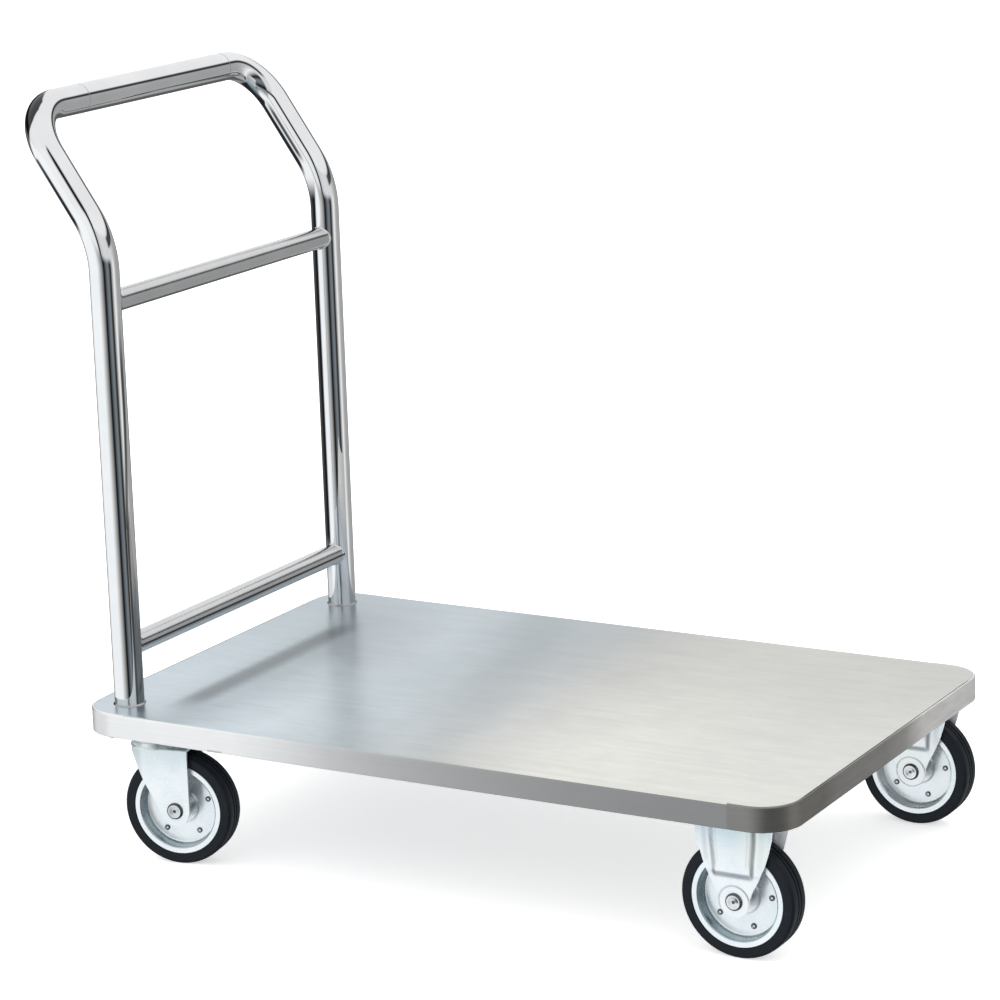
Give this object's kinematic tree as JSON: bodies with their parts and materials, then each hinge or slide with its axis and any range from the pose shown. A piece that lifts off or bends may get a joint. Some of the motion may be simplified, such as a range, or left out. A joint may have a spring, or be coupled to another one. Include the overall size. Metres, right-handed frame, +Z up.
{
  "type": "hotel luggage cart",
  "caption": "Flat-bed luggage trolley with folded stainless deck, fixed bent-tube handle with crossbars, rigid front casters and swivel rear casters.",
  "frame": {"origin": "on the ground under the middle of the whole outline", "axes": "+X forward along the deck away from the handle, +Y to the trolley's left, +Z up"},
  "size_m": [0.9522, 0.55, 0.8662],
  "materials": {
    "brushed_deck": "brushed stainless sheet, grain along the deck",
    "mill_steel": "plain mill-finish stainless",
    "polished_tube": "mirror-polished stainless tube",
    "zinc": "bright blue-white zinc plating",
    "rim_zinc": "bright zinc plating on pressed steel",
    "bearing_steel": "bearing steel",
    "rubber": "solid black rubber"
  },
  "bodies": {
    "cart": {"deck_panel": "brushed_deck", "front_apron": "brushed_deck", "rear_apron": "brushed_deck", "front_channel": "mill_steel", "centre_channel": "mill_steel", "rear_channel": "mill_steel", "handle_doublers": "mill_steel", "side_tube_r": "polished_tube", "side_tube_l": "polished_tube", "grip_tube": "polished_tube", "upper_crossbar": "polished_tube", "lower_crossbar": "polished_tube", "tube_welds": "polished_tube", "rigid_fork_r": "zinc", "rigid_fork_l": "zinc", "rigid_axle_r": "zinc", "rigid_axle_l": "zinc", "swivel_plate_r": "zinc", "swivel_plate_l": "zinc", "kingpin_r": "bearing_steel", "kingpin_l": "bearing_steel", "caster_bolts": "zinc", "caster_nuts": "zinc"},
    "swivel_r": {"swivel_fork_r": "zinc", "swivel_balls_r": "bearing_steel", "swivel_axle_r": "zinc"},
    "swivel_l": {"swivel_fork_l": "zinc", "swivel_balls_l": "bearing_steel", "swivel_axle_l": "zinc"},
    "wheel_fr": {"tyre_fr": "rubber", "rim_outer_fr": "rim_zinc", "rim_inner_fr": "rim_zinc", "rivets_fr": "zinc", "hub_fr": "zinc"},
    "wheel_fl": {"tyre_fl": "rubber", "rim_outer_fl": "rim_zinc", "rim_inner_fl": "rim_zinc", "rivets_fl": "zinc", "hub_fl": "zinc"},
    "wheel_rr": {"tyre_rr": "rubber", "rim_outer_rr": "rim_zinc", "rim_inner_rr": "rim_zinc", "rivets_rr": "zinc", "hub_rr": "zinc"},
    "wheel_rl": {"tyre_rl": "rubber", "rim_outer_rl": "rim_zinc", "rim_inner_rl": "rim_zinc", "rivets_rl": "zinc", "hub_rl": "zinc"}
  },
  "joints": [
    {"name": "swivel_right", "type": "hinge", "parent": "cart", "child": "swivel_r", "pos_m": [-0.323, -0.235, 0.14], "axis": [0, 0, 1], "continuous": true},
    {"name": "swivel_left", "type": "hinge", "parent": "cart", "child": "swivel_l", "pos_m": [-0.323, 0.235, 0.14], "axis": [0, 0, 1], "continuous": true},
    {"name": "spin_front_right", "type": "hinge", "parent": "cart", "child": "wheel_fr", "pos_m": [0.4085, -0.233, 0.065], "axis": [0, 1, 0], "continuous": true},
    {"name": "spin_front_left", "type": "hinge", "parent": "cart", "child": "wheel_fl", "pos_m": [0.4085, 0.233, 0.065], "axis": [0, 1, 0], "continuous": true},
    {"name": "spin_rear_right", "type": "hinge", "parent": "swivel_r", "child": "wheel_rr", "pos_m": [-0.29542, -0.23019, 0.065], "axis": [-0.1719, 0.9851, 0], "continuous": true},
    {"name": "spin_rear_left", "type": "hinge", "parent": "swivel_l", "child": "wheel_rl", "pos_m": [-0.29542, 0.23981, 0.065], "axis": [-0.1719, 0.9851, 0], "continuous": true}
  ]
}
